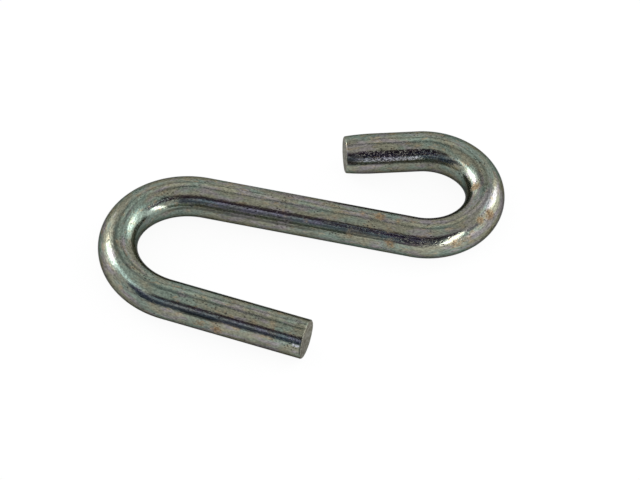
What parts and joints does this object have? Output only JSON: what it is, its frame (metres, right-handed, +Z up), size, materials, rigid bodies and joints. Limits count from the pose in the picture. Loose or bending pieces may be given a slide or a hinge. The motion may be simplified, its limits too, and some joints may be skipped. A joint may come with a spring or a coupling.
{
  "type": "s hook",
  "caption": "Zinc-plated steel S hook bent from round bar, with one wide open hook and one tighter hook closed past parallel for a captive ring or link.",
  "frame": {"origin": "under the middle of the hook's bounding box, on the surface it lies on", "axes": "+X along the straight shank, from the wide hook's bend towards the tight hook's bend; +Y in the plane of the S, towards the side that the tight hook opens on; +Z up, square to the plane of the S"},
  "size_m": [0.0898, 0.0754, 0.0095],
  "materials": {
    "zinc_plated_steel": "satin"
  },
  "bodies": {
    "root": {"s_hook": "zinc_plated_steel"}
  },
  "joints": []
}
